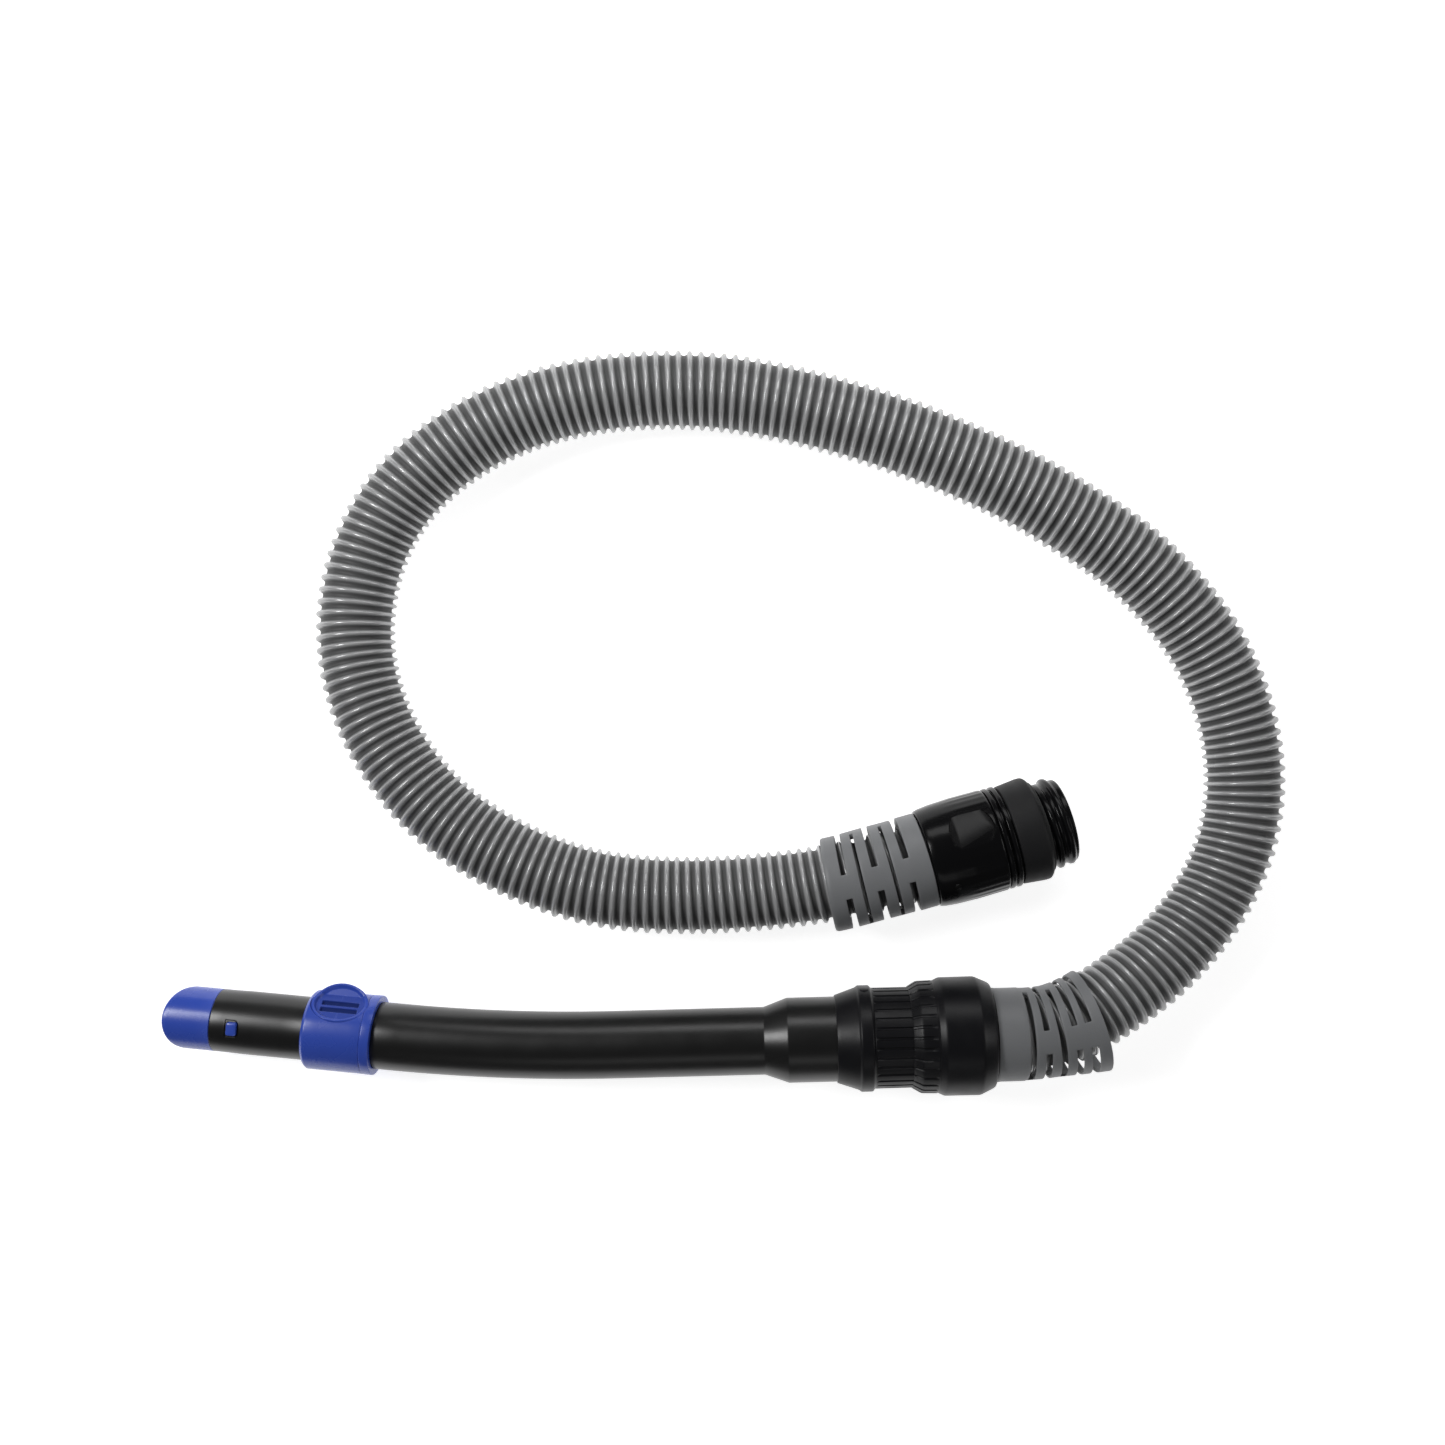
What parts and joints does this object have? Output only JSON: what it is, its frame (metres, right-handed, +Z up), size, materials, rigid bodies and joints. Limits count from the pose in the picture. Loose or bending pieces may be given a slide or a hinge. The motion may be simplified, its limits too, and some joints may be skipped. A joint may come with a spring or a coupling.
{
  "type": "vacuum hose",
  "caption": "Ribbed vacuum cleaner hose with slotted cuffs, a swivelling grip wand with suction regulator and latch button, and a threaded machine connector.",
  "frame": {"origin": "on the surface the set lies on, under the middle of the box round the wand, cuffs and connector", "axes": "+X along the grip from the nose towards the hose, +Z up from the surface, +Y towards the hose's loop"},
  "size_m": [0.5782, 0.3854, 0.0599],
  "materials": {
    "black_tube": "satin moulded plastic",
    "black_coupling": "satin moulded plastic",
    "black_gloss": "glossy moulded plastic",
    "black_matt": "matt fine-grained plastic",
    "blue_plastic": "satin moulded plastic",
    "cuff_grey": "flexible grained plastic",
    "hose_grey": "semi-gloss flexible plastic",
    "ferrule_grey": "moulded plastic",
    "washer_white": "acetal",
    "seal_rubber": "soft rubber",
    "spring_steel": "bright sheet"
  },
  "bodies": {
    "hose": {"hose_tube": "hose_grey", "handle_cuff": "cuff_grey", "swivel_ferrule": "ferrule_grey", "swivel_washer": "washer_white", "machine_cuff": "cuff_grey", "machine_ferrule": "ferrule_grey", "machine_washer": "washer_white"},
    "wand": {"wand_tube": "black_tube", "nose_insert": "blue_plastic", "ribbed_coupling": "black_coupling", "swivel_collar": "black_coupling", "swivel_seal": "seal_rubber", "latch_spring": "spring_steel"},
    "regulator": {"regulator_ring": "blue_plastic"},
    "latch": {"latch_button": "blue_plastic"},
    "connector": {"connector_body": "black_gloss", "trim_rings": "black_gloss", "connector_band": "black_matt", "threaded_spigot": "black_gloss", "connector_seal": "seal_rubber", "spigot_gasket": "seal_rubber"}
  },
  "joints": [
    {"name": "wand_swivel", "type": "hinge", "parent": "hose", "child": "wand", "pos_m": [0.173, -0.05, 0.03025], "axis": [0.9996, 0, 0.0298], "continuous": true},
    {"name": "regulator_turn", "type": "hinge", "parent": "wand", "child": "regulator", "pos_m": [-0.14624, -0.04019, 0.02072], "axis": [0.9921, -0.1219, 0.0296], "range_deg": [0, 60]},
    {"name": "latch_press", "type": "slide", "parent": "wand", "child": "latch", "axis": [0.0298, 0, -0.9996], "range_m": [0, 0.002], "stiffness_N_per_m": 2000, "springref_m": -0.001, "deforming": ["latch_spring"]},
    {"name": "connector_swivel", "type": "hinge", "parent": "hose", "child": "connector", "pos_m": [0.16073, 0.04218, 0.0267], "axis": [0.9703, 0.2419, 0], "continuous": true}
  ]
}
